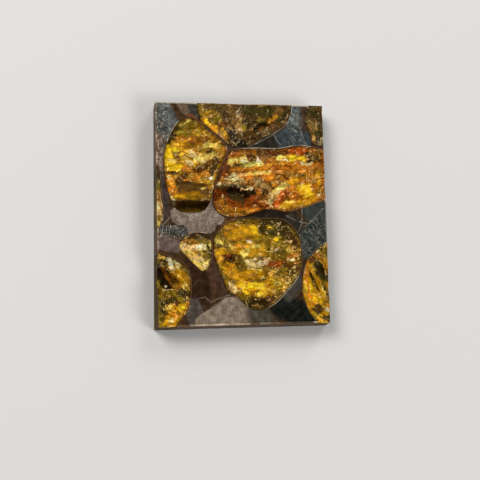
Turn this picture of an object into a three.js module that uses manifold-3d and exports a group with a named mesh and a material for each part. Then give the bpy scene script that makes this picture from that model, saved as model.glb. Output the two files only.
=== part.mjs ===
// A small rectangular slice of pallasite meteorite, lying flat with its polished face up.
// Nine olivine crystals run right through a web of nickel iron. The saw has cut six of them off
// at the slice's edges, and their tops are broken a little below the polish.
// Millimetres, +Z up, +X across and +Y along the slice. The origin is the middle of the back face.

import * as THREE from "three";
import { mergeVertices } from "three/addons/utils/BufferGeometryUtils.js";
import Module from "manifold-3d";

const wasm = await Module();
wasm.setup();

// Driving dimensions
const WIDTH = 17.7;
const LENGTH = 22.8;
const THICKNESS = 2.4;
const FRONT_BEVEL = 0.14; // bright worn edge round the polished face
const BACK_BEVEL = 0.1;
const SEAM = 0.05; // open crack between a crystal and what is round it
const HOLE_BEVEL = 0.06; // worn edge of the metal round each crystal
const RECESS = 0.06; // least depth of a broken crystal top below the polished face
const DEEPEST_BREAK = 0.55; // greatest depth of a broken top outside its pits
const STEEPEST_FACE = 0.24; // greatest rise over run of one break face
const LIP_WIDTH = 0.7; // the break grows from the recess to its full depth over this distance from the wall
const WALL_STEP = 0.5; // spacing of the corners along a crystal's wall
const CELL = 0.46; // spacing of the corners on a broken top
const OVERSHOOT = 1; // how far a cutting shape runs past what it cuts
const SLIVER = 0.01; // faces thinner than this are closed up after a cut

// The saw cuts are a little out of square, so each corner has its own inset from the full size.
// The corners go anticlockwise from the lower left.
const CORNER_SIDES = [[-1, -1], [1, -1], [1, 1], [-1, 1]];
const FRONT_INSETS = [[0.2, 0.05], [0.25, 0.3], [0, 0.1], [0.4, 0]];
const BACK_INSETS = [[0, 0], [0.2, 0.25], [0.1, 0.1], [0.5, 0.05]];

const METAL_COLOUR = "#5d5c60";

// Each crystal has its outline at the polished face, and the scale and shift of its outline at the
// back face. Its break faces are so long and wide, turned so many degrees, with so much drop from
// one to the next. A pit has a centre, two half sizes, a turn, a depth and a number of sides.
const CRYSTALS = [
  {
    name: "olivine_upper_left",
    colour: "#c2952c",
    outline: [
      [-4.85, 9.8], [-5.65, 9.65], [-6.35, 9.05], [-7.5, 6.6], [-7.75, 5.25], [-7.35, 2.1], [-6.5, 0.35],
      [-4.35, 0.15], [-3.5, 0.6], [-2.3, 4.25], [-1.75, 5.35], [-1.4, 6.3], [-1.55, 7], [-3.15, 8.5],
    ],
    back: { scale: [0.9, 0.93], shift: [0.1, -0.1] },
    faces: { length: 2.2, width: 1.4, turn: 12, drop: 0.24 },
    pits: [
      { at: [-4.9, 0], size: [2.1, 1.35], turn: 2, depth: 1.5, sides: 4 },
      { at: [-4.9, 2.2], size: [1.75, 1], turn: 5, depth: 0.42, sides: 5 },
    ],
  },
  {
    name: "olivine_top",
    colour: "#7c6330",
    outline: [
      [-4.05, 12.1], [-4.05, 10.3], [-3.85, 9.55], [-2.15, 8.05], [-0.8, 6.9], [0.05, 6.9], [0.95, 6.95],
      [2.35, 7.75], [4.9, 9.3], [5.3, 10], [5.55, 11.05], [5.65, 12.3],
    ],
    back: { scale: [0.9, 0.95], shift: [-0.2, 0.3] },
    faces: { length: 2.4, width: 1.1, turn: 32, drop: 0.2 },
    pits: [{ at: [2.3, 9], size: [0.9, 0.35], turn: 30, depth: 0.75, sides: 7 }],
  },
  {
    name: "olivine_top_right",
    colour: "#5a4a2c",
    outline: [
      [7.45, 12.35], [7.4, 11.25], [7.05, 10.4], [7.05, 9.4], [7.35, 8.6], [7.7, 7.15], [8.5, 7.05],
      [9.95, 7], [10.25, 12.4],
    ],
    back: { scale: [1, 1], shift: [0.3, 0.1] },
    faces: { length: 1.7, width: 1, turn: 80, drop: 0.15 },
    pits: [],
  },
  {
    name: "olivine_band",
    colour: "#b4651f",
    outline: [
      [-1, 6.3], [-1.25, 5.95], [-1.6, 5.15], [-2.15, 4], [-2.9, 0.95], [-2.05, -0.2], [0.15, -0.3],
      [1.1, 0], [2.65, 0.45], [3.55, 0.35], [4.5, 0.15], [5.3, 0.4], [6.4, 0.65], [8.8, 1.55], [9.7, 1.75],
      [9.95, 6.6], [8.6, 6.65], [6.25, 7], [4.15, 6.65], [3.1, 6.6], [1.65, 6.65],
    ],
    back: { scale: [0.96, 0.9], shift: [0.25, 0] },
    faces: { length: 3.6, width: 0.8, turn: 4, drop: 0.3 },
    pits: [
      { at: [-0.85, 1.4], size: [2.05, 1.55], turn: -4, depth: 0.85, sides: 9 },
      { at: [2, 1.15], size: [0.8, 0.55], turn: 20, depth: 0.5, sides: 3 },
    ],
  },
  {
    name: "olivine_left_edge",
    colour: "#a08a54",
    outline: [
      [-9.75, 5.25], [-9.9, -1.95], [-8.8, -1.75], [-8.15, -1], [-7.95, -0.3], [-8.15, 2.6], [-8.3, 4.65],
      [-8.6, 5.2],
    ],
    back: { scale: [1, 0.95], shift: [0, 0] },
    faces: { length: 1.4, width: 0.9, turn: 88, drop: 0.15 },
    pits: [],
  },
  {
    name: "olivine_small",
    colour: "#b9a94a",
    outline: [
      [-5.3, -2.15], [-5.8, -2.45], [-6.45, -3.4], [-6.2, -3.8], [-5, -5.1], [-4.05, -5.9], [-3.4, -5],
      [-3.3, -2.55], [-3.6, -2.15],
    ],
    back: { scale: [1.12, 1.08], shift: [-0.25, 0.1] },
    faces: { length: 1.4, width: 1.1, turn: -25, drop: 0.22 },
    pits: [],
  },
  {
    name: "olivine_round",
    colour: "#b59a26",
    outline: [
      [0.95, -0.5], [-1.65, -1.1], [-2.75, -2.3], [-3, -3.1], [-2.8, -5], [-2.1, -6.75], [-1.95, -7.45],
      [-1.6, -7.9], [-1.05, -8.15], [-0.55, -8.5], [-0.2, -9], [0.4, -9.5], [1.2, -9.75], [2.9, -9.15],
      [4.35, -7.75], [5.55, -6.2], [5.95, -4.35], [5.75, -2.5], [5.4, -1.75], [4.1, -0.7], [2, -0.6],
    ],
    back: { scale: [0.88, 0.92], shift: [0.15, -0.1] },
    faces: { length: 1.9, width: 1.3, turn: -18, drop: 0.28 },
    pits: [
      { at: [1.3, -9.15], size: [1.15, 0.42], turn: 4, depth: 0.55, sides: 8 },
      { at: [-1.55, -4.75], size: [0.6, 0.4], turn: 20, depth: 0.6, sides: 5 },
      { at: [1.7, -4.85], size: [0.55, 0.4], turn: 35, depth: 0.55, sides: 6 },
    ],
  },
  {
    name: "olivine_lower_left",
    colour: "#9c8328",
    outline: [
      [-9.95, -3.7], [-10.15, -12.4], [-7.5, -12.45], [-7.2, -11.6], [-6.7, -11], [-6.3, -10.3],
      [-5.8, -9.85], [-5.45, -6.2], [-5.75, -5.5], [-6.4, -4.9], [-8.2, -4.15], [-8.85, -3.8],
    ],
    back: { scale: [0.96, 0.96], shift: [-0.15, -0.1] },
    faces: { length: 1.9, width: 1.2, turn: -55, drop: 0.28 },
    pits: [{ at: [-8, -6.7], size: [1.15, 0.9], turn: -60, depth: 0.95, sides: 3 }],
  },
  {
    name: "olivine_lower_right",
    colour: "#a9791f",
    outline: [
      [9.65, -2.7], [8.55, -3.05], [7.7, -3.7], [6.6, -4.7], [6.05, -6.3], [5.95, -8], [6.5, -9.95],
      [7.4, -11.15], [7.55, -12], [9.15, -12.05],
    ],
    back: { scale: [1.03, 1], shift: [0.1, 0.15] },
    faces: { length: 2.8, width: 0.75, turn: -66, drop: 0.28 },
    pits: [
      { at: [7.15, -6.95], size: [1.25, 0.16], turn: -64, depth: 0.7, sides: 6 },
      { at: [8.15, -6.6], size: [1.9, 0.32], turn: -72, depth: 0.4, sides: 6 },
    ],
  },
];

// Repeatable chance, so that every build breaks the crystals in the same way
function seededRandom(seed) {
  let state = seed;
  return () => {
    state = (state + 0x6d2b79f5) | 0;
    let mixed = Math.imul(state ^ (state >>> 15), 1 | state);
    mixed = (mixed + Math.imul(mixed ^ (mixed >>> 7), 61 | mixed)) ^ mixed;
    return ((mixed ^ (mixed >>> 14)) >>> 0) / 4294967296;
  };
}

function toSolid(geometry) {
  geometry.deleteAttribute("normal");
  geometry.deleteAttribute("uv");
  const welded = mergeVertices(geometry);
  const vertProperties = new Float32Array(welded.attributes.position.array);
  const triVerts = new Uint32Array(welded.index.array);
  return new wasm.Manifold(new wasm.Mesh({ numProp: 3, vertProperties, triVerts }));
}

function toGeometry(solid) {
  const { vertProperties, triVerts } = solid.simplify(SLIVER).getMesh();
  const geometry = new THREE.BufferGeometry();
  geometry.setAttribute("position", new THREE.BufferAttribute(vertProperties, 3));
  geometry.setIndex(new THREE.BufferAttribute(triVerts, 1));
  geometry.computeVertexNormals();
  return geometry;
}

const toVectors = (points) => points.map(([x, y]) => new THREE.Vector2(x, y));

// A closed solid through level rings, which all have the same number of points and go anticlockwise
function loft(rings) {
  const count = rings[0].points.length;
  const positions = rings.flatMap(({ points, z }) => points.flatMap(([x, y]) => [x, y, z]));
  const indices = [];
  for (let level = 0; level < rings.length - 1; level++) {
    for (let i = 0; i < count; i++) {
      const here = level * count + i;
      const next = level * count + ((i + 1) % count);
      indices.push(here, next, next + count, here, next + count, here + count);
    }
  }
  const lid = ({ points }) => THREE.ShapeUtils.triangulateShape(toVectors(points), []);
  const topStart = (rings.length - 1) * count;
  for (const [a, b, c] of lid(rings[0])) indices.push(c, b, a);
  for (const [a, b, c] of lid(rings.at(-1))) indices.push(topStart + a, topStart + b, topStart + c);
  const geometry = new THREE.BufferGeometry();
  geometry.setAttribute("position", new THREE.Float32BufferAttribute(positions, 3));
  geometry.setIndex(indices);
  return geometry;
}

// The sawn plate, with a bevel round both faces
function plateSolid() {
  const corners = (insets, bevel) =>
    CORNER_SIDES.map(([sideX, sideY], i) => [
      sideX * (WIDTH / 2 - insets[i][0] - bevel),
      sideY * (LENGTH / 2 - insets[i][1] - bevel),
    ]);
  return toSolid(loft([
    { points: corners(BACK_INSETS, BACK_BEVEL), z: 0 },
    { points: corners(BACK_INSETS, 0), z: BACK_BEVEL },
    { points: corners(FRONT_INSETS, 0), z: THICKNESS - FRONT_BEVEL },
    { points: corners(FRONT_INSETS, FRONT_BEVEL), z: THICKNESS },
  ]));
}

// Evenly spaced points on a smooth closed curve through a crystal's outline
function smoothOutline(outline) {
  const corners = outline.map(([x, y]) => new THREE.Vector3(x, y, 0));
  const curve = new THREE.CatmullRomCurve3(corners, true, "centripetal");
  const points = curve.getSpacedPoints(Math.round(curve.getLength() / WALL_STEP)).slice(0, -1);
  if (THREE.ShapeUtils.isClockWise(points)) points.reverse();
  return points.map(({ x, y }) => [x, y]);
}

function middleOf(points) {
  return new THREE.Box2().setFromPoints(toVectors(points)).getCenter(new THREE.Vector2());
}

// The outline moved outwards by a distance, square to its own direction
function widen(points, distance) {
  return points.map(([x, y], i) => {
    const [beforeX, beforeY] = points.at(i - 1);
    const [afterX, afterY] = points[(i + 1) % points.length];
    const alongX = afterX - beforeX;
    const alongY = afterY - beforeY;
    const length = Math.hypot(alongX, alongY);
    return [x + (alongY / length) * distance, y - (alongX / length) * distance];
  });
}

// A crystal's walls at the polished face and at the back face
function wallOutlines({ outline, back }) {
  const front = smoothOutline(outline);
  const middle = middleOf(front);
  const rear = front.map(([x, y]) => [
    middle.x + (x - middle.x) * back.scale[0] + back.shift[0],
    middle.y + (y - middle.y) * back.scale[1] + back.shift[1],
  ]);
  return { front, rear };
}

function wallSolid({ front, rear }, gap) {
  return toSolid(loft([
    { points: widen(rear, gap), z: -OVERSHOOT },
    { points: widen(rear, gap), z: 0 },
    { points: widen(front, gap), z: THICKNESS },
    { points: widen(front, gap), z: THICKNESS + OVERSHOOT },
  ]));
}

// What the metal loses round a crystal: the crystal, its seam and the bevel of the hole's edge
function holeSolid({ front, rear }) {
  const mouth = widen(front, SEAM + HOLE_BEVEL);
  return toSolid(loft([
    { points: widen(rear, SEAM), z: -OVERSHOOT },
    { points: widen(rear, SEAM), z: 0 },
    { points: widen(front, SEAM), z: THICKNESS - HOLE_BEVEL },
    { points: mouth, z: THICKNESS },
    { points: mouth, z: THICKNESS + OVERSHOOT },
  ]));
}

// The depth of a broken top at each place: every place belongs to its nearest seed, and each seed
// is one flat tilted face
function breakDepth({ length, width, drop }, span, random) {
  const seeds = [];
  const spread = (size) => (random() - 0.5) * size;
  for (let x = -span / 2; x <= span / 2; x += length) {
    for (let y = -span / 2; y <= span / 2; y += width) {
      seeds.push({
        x: x + spread(length),
        y: y + spread(width),
        depth: RECESS + random() * drop,
        slopeX: spread(STEEPEST_FACE),
        slopeY: spread(2 * STEEPEST_FACE),
      });
    }
  }
  return (x, y) => {
    const farness = (seed) => Math.hypot((x - seed.x) / length, (y - seed.y) / width);
    const face = seeds.reduce((best, seed) => (farness(seed) < farness(best) ? seed : best));
    const depth = face.depth + (x - face.x) * face.slopeX + (y - face.y) * face.slopeY;
    return THREE.MathUtils.clamp(depth, RECESS, DEEPEST_BREAK);
  };
}

// A block whose top is broken into flat faces, wide enough to hold a whole crystal
function brokenBlock(faces, front, random) {
  const middle = middleOf(front);
  const turn = THREE.MathUtils.degToRad(faces.turn);
  const wall = front.map(([x, y]) => new THREE.Vector2(x, y).rotateAround(middle, -turn).sub(middle));
  const reach = Math.max(...wall.map((point) => point.length()));
  const span = 2 * (reach + CELL);
  const cells = Math.ceil(span / CELL);
  const fullDepth = breakDepth(faces, span, random);
  const depthAt = (x, y) => {
    const toWall = Math.min(...wall.map((point) => Math.hypot(x - point.x, y - point.y)));
    return THREE.MathUtils.lerp(RECESS, fullDepth(x, y), Math.min(toWall / LIP_WIDTH, 1));
  };
  const box = new THREE.BoxGeometry(span, span, THICKNESS, cells, cells, 1);
  box.deleteAttribute("normal");
  box.deleteAttribute("uv");
  const block = mergeVertices(box);
  const place = block.attributes.position;
  for (let i = 0; i < place.count; i++) {
    if (place.getZ(i) < 0) {
      place.setZ(i, -OVERSHOOT);
      continue;
    }
    const x = place.getX(i) + (random() - 0.5) * CELL * 0.6;
    const y = place.getY(i) + (random() - 0.5) * CELL * 0.6;
    place.setXYZ(i, x, y, THICKNESS - depthAt(x, y));
  }
  block.rotateZ(turn);
  block.translate(middle.x, middle.y, 0);
  return toSolid(block);
}

// An uneven pit that narrows towards its floor and is open towards the polished face
function pitSolid({ at, size, turn, depth, sides }, random) {
  const floorShare = 0.72;
  const unevenness = 0.3;
  const evenRadius = 1 / Math.cos(Math.PI / sides);
  const cornerRadii = Array.from({ length: sides }, () => evenRadius + (random() - 0.5) * unevenness);
  const ring = (share) =>
    cornerRadii.map((radius, i) => {
      const angle = (2 * Math.PI * (i + 0.5)) / sides;
      return [size[0] * radius * share * Math.cos(angle), size[1] * radius * share * Math.sin(angle)];
    });
  const pit = loft([
    { points: ring(floorShare), z: THICKNESS - depth },
    { points: ring(1), z: THICKNESS },
    { points: ring(1), z: THICKNESS + OVERSHOOT },
  ]);
  pit.rotateZ(THREE.MathUtils.degToRad(turn));
  pit.translate(at[0], at[1], 0);
  return toSolid(pit);
}

function crystalSolid(crystal, walls, plate, earlierSolids, random) {
  let solid = wallSolid(walls, 0)
    .intersect(plate)
    .intersect(brokenBlock(crystal.faces, walls.front, random));
  for (const pit of crystal.pits) solid = solid.subtract(pitSolid(pit, random));
  for (const earlier of earlierSolids) solid = solid.subtract(earlier);
  return solid;
}

function makeMesh(name, geometry, material) {
  const mesh = new THREE.Mesh(geometry, material);
  mesh.name = name;
  return mesh;
}

function makeMetal(plate, allWalls) {
  const metal = allWalls.reduce((rest, walls) => rest.subtract(holeSolid(walls)), plate);
  const finish = new THREE.MeshStandardMaterial({ color: METAL_COLOUR, roughness: 0.3, metalness: 0.9 });
  return makeMesh("metal_matrix", toGeometry(metal), finish);
}

// Each crystal's own origin is the middle of its outline, on the back face
function makeCrystals(plate, allWalls) {
  const crystals = new THREE.Group();
  const takenSpace = [];
  CRYSTALS.forEach((crystal, i) => {
    const solid = crystalSolid(crystal, allWalls[i], plate, takenSpace, seededRandom(i + 1));
    takenSpace.push(wallSolid(allWalls[i], SEAM));
    const geometry = toGeometry(solid);
    const middle = middleOf(allWalls[i].front);
    geometry.translate(-middle.x, -middle.y, 0);
    const finish = new THREE.MeshStandardMaterial({ color: crystal.colour, roughness: 0.15, metalness: 0 });
    const mesh = makeMesh(crystal.name, geometry, finish);
    mesh.position.set(middle.x, middle.y, 0);
    crystals.add(mesh);
  });
  return crystals;
}

const plate = plateSolid();
const allWalls = CRYSTALS.map(wallOutlines);
const slice = new THREE.Group();
slice.add(makeMetal(plate, allWalls));
slice.add(makeCrystals(plate, allWalls));

export default slice;
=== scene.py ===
"""The looks of a pallasite meteorite slice: polished nickel iron round broken olivine crystals.

The slice lies on a plain floor, polished face up. Blender lengths are metres. Places and sizes on
the slice are written in millimetres, +X across it and +Y along it, and MM turns them into metres.
"""

import math
from collections import namedtuple

import bmesh
import bpy
import numpy as np
from mathutils import Matrix, Vector, kdtree


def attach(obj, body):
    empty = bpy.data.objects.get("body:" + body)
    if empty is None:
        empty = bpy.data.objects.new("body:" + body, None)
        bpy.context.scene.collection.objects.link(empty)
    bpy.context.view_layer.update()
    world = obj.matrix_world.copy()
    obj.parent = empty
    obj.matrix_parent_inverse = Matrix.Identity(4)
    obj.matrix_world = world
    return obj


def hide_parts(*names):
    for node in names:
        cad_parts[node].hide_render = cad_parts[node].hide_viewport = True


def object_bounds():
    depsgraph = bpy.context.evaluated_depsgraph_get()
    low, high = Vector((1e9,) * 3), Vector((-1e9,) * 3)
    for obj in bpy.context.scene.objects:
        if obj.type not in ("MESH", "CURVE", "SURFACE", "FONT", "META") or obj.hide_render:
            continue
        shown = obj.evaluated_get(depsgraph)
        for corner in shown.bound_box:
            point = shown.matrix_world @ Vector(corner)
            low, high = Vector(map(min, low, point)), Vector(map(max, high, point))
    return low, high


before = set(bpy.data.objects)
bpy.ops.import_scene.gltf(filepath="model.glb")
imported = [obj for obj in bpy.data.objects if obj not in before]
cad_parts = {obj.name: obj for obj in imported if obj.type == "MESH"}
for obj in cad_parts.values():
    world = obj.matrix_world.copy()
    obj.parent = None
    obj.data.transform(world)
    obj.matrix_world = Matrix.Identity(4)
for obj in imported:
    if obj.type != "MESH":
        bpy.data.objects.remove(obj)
cad_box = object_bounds()

MM = 0.001
THICKNESS = cad_box[1][2] - cad_box[0][2]

# The view of the slice, as the picture of 480 by 480 pixels shows it
PICTURE_SIDE = 480
PIXEL_ON_SLICE = 0.1 * MM
VIEW_DISTANCE = 130 * MM
VIEW_FROM_LEFT = math.radians(11.5)
VIEW_FROM_BELOW = math.radians(10.5)
VIEW_ROLL = math.radians(-2.15)
VIEWED_POINT = Vector((0.05 * MM, -0.15 * MM, THICKNESS))
VIEWED_PIXEL = (242.6, 214.4)
SENSOR_WIDTH = 36


def make_camera():
    back = Vector((-math.tan(VIEW_FROM_LEFT), -math.tan(VIEW_FROM_BELOW), 1)).normalized()
    level_up = (Vector((0, 1, 0)) - back * back.y).normalized()
    level_right = level_up.cross(back)
    right = level_right * math.cos(VIEW_ROLL) + level_up * math.sin(VIEW_ROLL)
    up = level_up * math.cos(VIEW_ROLL) - level_right * math.sin(VIEW_ROLL)
    aside = (VIEWED_PIXEL[0] - PICTURE_SIDE / 2) * PIXEL_ON_SLICE
    below = (VIEWED_PIXEL[1] - PICTURE_SIDE / 2) * PIXEL_ON_SLICE
    place = VIEWED_POINT + back * VIEW_DISTANCE - right * aside + up * below
    camera = bpy.data.objects.new("camera", bpy.data.cameras.new("camera"))
    camera.data.sensor_width = SENSOR_WIDTH
    camera.data.lens = SENSOR_WIDTH * VIEW_DISTANCE / (PICTURE_SIDE * PIXEL_ON_SLICE)
    camera.data.clip_start = 1 * MM
    camera.matrix_world = Matrix.Translation(place) @ Matrix((right, up, back)).transposed().to_4x4()
    bpy.context.scene.collection.objects.link(camera)
    bpy.context.scene.camera = camera


class Graph:
    """A node tree, with short calls that add a node and link or set its inputs."""

    def __init__(self, owner):
        owner.use_nodes = True
        self.tree = owner.node_tree
        self.tree.nodes.clear()

    def node(self, kind, inputs, **settings):
        made = self.tree.nodes.new("ShaderNode" + kind)
        for name, value in settings.items():
            setattr(made, name, value)
        for key, value in inputs.items():
            if isinstance(value, bpy.types.NodeSocket):
                self.tree.links.new(value, made.inputs[key])
            else:
                made.inputs[key].default_value = value
        return made

    def math(self, operation, first, second=0.0, clamp=False):
        return self.node("Math", {0: first, 1: second}, operation=operation, use_clamp=clamp).outputs[0]

    def mix(self, share, first, second, blend="MIX"):
        inputs = {0: share, 6: first, 7: second}
        return self.node("Mix", inputs, data_type="RGBA", blend_type=blend).outputs[2]

    def between(self, value, low, high, low_result=0.0, high_result=1.0):
        """Turns values from low to high into results, and holds the results outside them."""
        inputs = {0: value, 1: low, 2: high, 3: low_result, 4: high_result}
        return self.node("MapRange", inputs, interpolation_type="SMOOTHSTEP").outputs[0]

    def grey(self, value):
        return self.node("CombineColor", {0: value, 1: value, 2: value}).outputs[0]

    def place(self):
        return self.node("TexCoord", {}).outputs["Object"]

    def cells(self, place, length, width=None, turn=0.0):
        """Coordinates in cells of that length and width in millimetres, turned by turn degrees."""
        across = (width or length) * MM
        inputs = {0: place, "Rotation": (0, 0, math.radians(turn)),
                  "Scale": (length * MM, across, across)}
        return self.node("Mapping", inputs, vector_type="TEXTURE").outputs[0]

    def noise(self, cells, detail=2.0, roughness=0.5, distortion=0.0):
        inputs = {"Vector": cells, "Scale": 1.0, "Detail": detail, "Roughness": roughness,
                  "Distortion": distortion}
        return self.node("TexNoise", inputs)

    def voronoi(self, cells, feature="F1"):
        return self.node("TexVoronoi", {"Vector": cells, "Scale": 1.0}, feature=feature)

    def warp(self, place, size, amount):
        """The place moved about by up to amount millimetres, in swirls of that size."""
        swirl = self.noise(self.cells(place, size)).outputs["Color"]
        centred = self.node("VectorMath", {0: swirl, 1: (0.5, 0.5, 0.5)}, operation="SUBTRACT").outputs[0]
        moved = self.node("VectorMath", {0: centred, 3: 2 * amount * MM}, operation="SCALE").outputs[0]
        return self.node("VectorMath", {0: place, 1: moved}, operation="ADD").outputs[0]

    def finish(self, surface, volume=None):
        inputs = {"Surface": surface.outputs[0]}
        if volume:
            inputs["Volume"] = volume.outputs[0]
        self.node("OutputMaterial", inputs)


def rgb(red, green, blue):
    return (red, green, blue, 1.0)


# Zones of the polished metal, painted one over the other: the colour of each, the two ends of its middle
# line in millimetres, its half width and how softly its edge fades. The colours are partly the grains'
# own tones and partly painted reflections of the surroundings, which give the pale pinkish, blue-grey
# and near-black patches.
METAL_GROUND = rgb(0.19, 0.11, 0.06)
METAL_TONES_AND_REFLECTIONS = [
    (rgb(0.35, 0.41, 0.49), (-8.4, 11.0), (-7.2, 8.6), 1.30, 0.5),
    (rgb(0.21, 0.24, 0.26), (-8.5, 9.6), (-7.9, 8.4), 0.70, 0.6),
    (rgb(0.50, 0.38, 0.36), (-8.6, 7.3), (-8.4, 4.6), 0.85, 0.5),
    (rgb(0.16, 0.13, 0.13), (-7.9, 3.8), (-7.8, -0.2), 0.50, 0.3),
    (rgb(0.17, 0.16, 0.16), (-4.7, 10.9), (-4.6, 10.0), 0.50, 0.3),
    (rgb(0.52, 0.38, 0.28), (-5.9, 11.3), (-5.4, 10.4), 0.42, 0.3),
    (rgb(0.53, 0.20, 0.10), (-4.9, 9.8), (-2.0, 7.1), 0.35, 0.2),
    (rgb(0.42, 0.17, 0.07), (-1.6, 6.4), (-2.7, 2.8), 0.40, 0.2),
    (rgb(0.37, 0.33, 0.30), (-2.8, 2.4), (-3.1, 0.9), 0.30, 0.2),
    (rgb(0.21, 0.12, 0.09), (-1.0, 6.75), (0.9, 6.8), 0.30, 0.2),
    (rgb(0.95, 0.61, 0.44), (-1.55, 6.75), (-1.45, 6.65), 0.16, 0.1),
    (rgb(0.31, 0.15, 0.06), (-2.2, -0.9), (-0.5, -0.3), 0.35, 0.3),
    (rgb(0.08, 0.08, 0.07), (1.2, 6.8), (3.5, 7.5), 0.85, 0.15),
    (rgb(0.14, 0.205, 0.28), (4.9, 7.7), (6.5, 7.6), 1.10, 0.4),
    (rgb(0.29, 0.38, 0.47), (5.6, 11.2), (5.7, 9.4), 0.80, 0.8),
    (rgb(0.85, 0.68, 0.66), (-6.2, -0.2), (-2.9, -0.4), 1.00, 0.1),
    (rgb(0.83, 0.70, 0.70), (-3.6, 0.2), (-2.3, -0.5), 0.35, 0.1),
    (rgb(0.70, 0.57, 0.57), (-5.2, -1.4), (-3.4, -1.35), 0.72, 0.1),
    (rgb(0.66, 0.54, 0.54), (-2.5, -0.55), (-3.3, -1.9), 0.26, 0.1),
    (rgb(0.20, 0.20, 0.23), (-7.9, -1.75), (-6.0, -1.85), 0.50, 0.2),
    (rgb(0.46, 0.35, 0.37), (-8.3, -3.0), (-6.9, -3.3), 0.70, 0.15),
    (rgb(0.12, 0.06, 0.04), (-5.0, -5.4), (-4.4, -8.2), 1.05, 0.3),
    (rgb(0.21, 0.12, 0.09), (-2.9, -4.2), (-2.1, -8.0), 0.60, 0.3),
    (rgb(0.34, 0.16, 0.13), (-3.3, -5.7), (-3.0, -7.8), 0.20, 0.3),
    (rgb(0.29, 0.25, 0.26), (-5.3, -9.3), (-5.0, -10.8), 0.80, 0.2),
    (rgb(0.85, 0.71, 0.64), (-3.9, -11.2), (-1.5, -9.7), 1.20, 0.1),
    (rgb(0.87, 0.73, 0.66), (-2.4, -10.6), (-0.6, -9.9), 1.30, 1.0),
    (rgb(0.24, 0.23, 0.21), (1.2, -9.9), (1.9, -11.3), 1.10, 1.2),
    (rgb(0.03, 0.04, 0.04), (3.9, -9.4), (6.6, -10.9), 1.40, 0.6),
    (rgb(0.22, 0.21, 0.21), (5.6, -6.9), (4.4, -8.5), 0.50, 0.5),
    (rgb(0.06, 0.05, 0.04), (0.8, 0.1), (4.8, -0.4), 0.90, 0.2),
    (rgb(0.11, 0.11, 0.10), (5.0, -0.6), (5.6, -1.6), 0.70, 0.3),
    (rgb(0.15, 0.19, 0.21), (7.3, 0.2), (8.8, -0.2), 1.15, 0.1),
    (rgb(0.115, 0.155, 0.165), (7.6, -2.1), (6.7, -3.4), 1.35, 0.2),
]

# Bright cracks and grain edges of the metal, each through points in millimetres. The first two lines run
# along the plate's top edge and are a painted highlight of that edge
METAL_CRACKS_AND_TOP_HIGHLIGHT = [
    [(-8.7, 11.27), (-4.3, 11.25)],
    [(5.6, 11.2), (8.7, 11.17)],
    [(-8.7, -1.8), (-7.6, -0.8), (-6.5, 0.25)],
    [(-7.2, -1.35), (-6.0, -1.15), (-5.4, -1.6)],
    [(-8.6, -2.35), (-7.2, -2.3), (-6.3, -2.7)],
    [(-4.8, -8.6), (-4.0, -8.45), (-3.45, -9.0), (-2.8, -8.65), (-1.5, -8.25)],
    [(3.6, 8.2), (3.9, 7.5), (4.3, 7.1)],
    [(5.05, 10.9), (4.9, 9.3), (4.3, 8.75), (3.65, 8.2), (2.6, 7.62), (0.95, 6.8)],
    [(6.25, 10.4), (6.15, 9.5), (6.4, 8.6), (6.7, 7.8), (6.9, 7.0)],
    [(-6.6, 0.2), (-5.1, -0.2), (-4.3, 0.1), (-3.35, 0.55)],
    [(5.95, 10.3), (5.45, 9.2)],
    [(-8.3, 7.3), (-7.1, 8.1)],
    [(6.2, 0.8), (6.13, -0.9), (5.75, -1.9)],
    [(5.9, -0.9), (6.9, -1.05), (8.4, 0.5)],
    [(4.5, -0.25), (5.5, -0.75)],
]

# Where the polish is finely scratched and grainy: two ends and a half width in millimetres, and how
# strongly
SCRATCHED_PARTS = [
    ((-8.6, 10.6), (-8.4, 5.0), 1.6, 1.0),
    ((7.6, -1.8), (6.8, -3.2), 1.3, 1.0),
    ((5.6, 10.6), (5.9, 8.0), 0.8, 1.0),
    ((-8.2, -1.8), (-6.4, -1.9), 0.7, 1.0),
    ((-6.2, -0.5), (-2.8, -0.8), 1.1, 0.4),
    ((6.0, 7.6), (5.6, 7.5), 0.8, 0.5),
]

# Where a painted highlight lies along the metal's edges: two ends and a half width in millimetres
HIGHLIGHTED_EDGES = [
    ((-8.8, 11.5), (8.8, 11.3), 0.3),
    ((-5.5, -11.22), (0.3, -11.15), 0.06),
    ((4.95, 10.6), (4.85, 9.3), 0.3),
    ((3.7, 8.4), (0.9, 6.7), 0.25),
    ((4.8, 9.3), (3.7, 8.4), 0.3),
    ((6.4, 10.0), (7.0, 7.0), 0.45),
    ((0.6, 6.7), (5.4, 6.9), 0.2),
    ((-7.4, 7.0), (-6.2, 9.1), 0.3),
    ((-6.6, 0.1), (-3.2, 0.4), 0.35),
    ((2.6, -9.4), (5.3, -6.5), 0.3),
    ((6.0, -8.0), (7.3, -11.2), 0.3),
    ((-2.0, -8.0), (0.4, -9.8), 0.2),
    ((5.0, 0.3), (8.8, 1.5), 0.25),
]

# The bright cracks' half width, and how softly they, the scratched parts and the painted edge
# highlights fade out, all in millimetres
CRACK_HALF_WIDTH = 0.05
CRACK_FADE = 0.06
SCRATCHED_FADE = 0.6
EDGE_HIGHLIGHT_FADE = 0.3

# Fine straight scratches in three directions: length and width in millimetres, turn in degrees and
# how rare they are
SCRATCHES = [
    (3.5, 0.06, 38, 0.66),
    (2.8, 0.055, -52, 0.67),
    (2.2, 0.05, 80, 0.69),
]

# The metal's colours besides its zones: bright lines, the painted edge highlight, dark edges, sawn sides
# darkened as painted shade, and their rust
BRIGHT_LINE = rgb(0.95, 0.93, 0.90)
EDGE_HIGHLIGHT_COLOUR = rgb(0.62, 0.57, 0.49)
DARK_EDGE = rgb(0.13, 0.07, 0.035)
# The sawn sides' near-black is painted shade
SHADED_SAWN_METAL = rgb(0.055, 0.045, 0.037)
RUST_STAIN = rgb(0.08, 0.04, 0.02)


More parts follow.
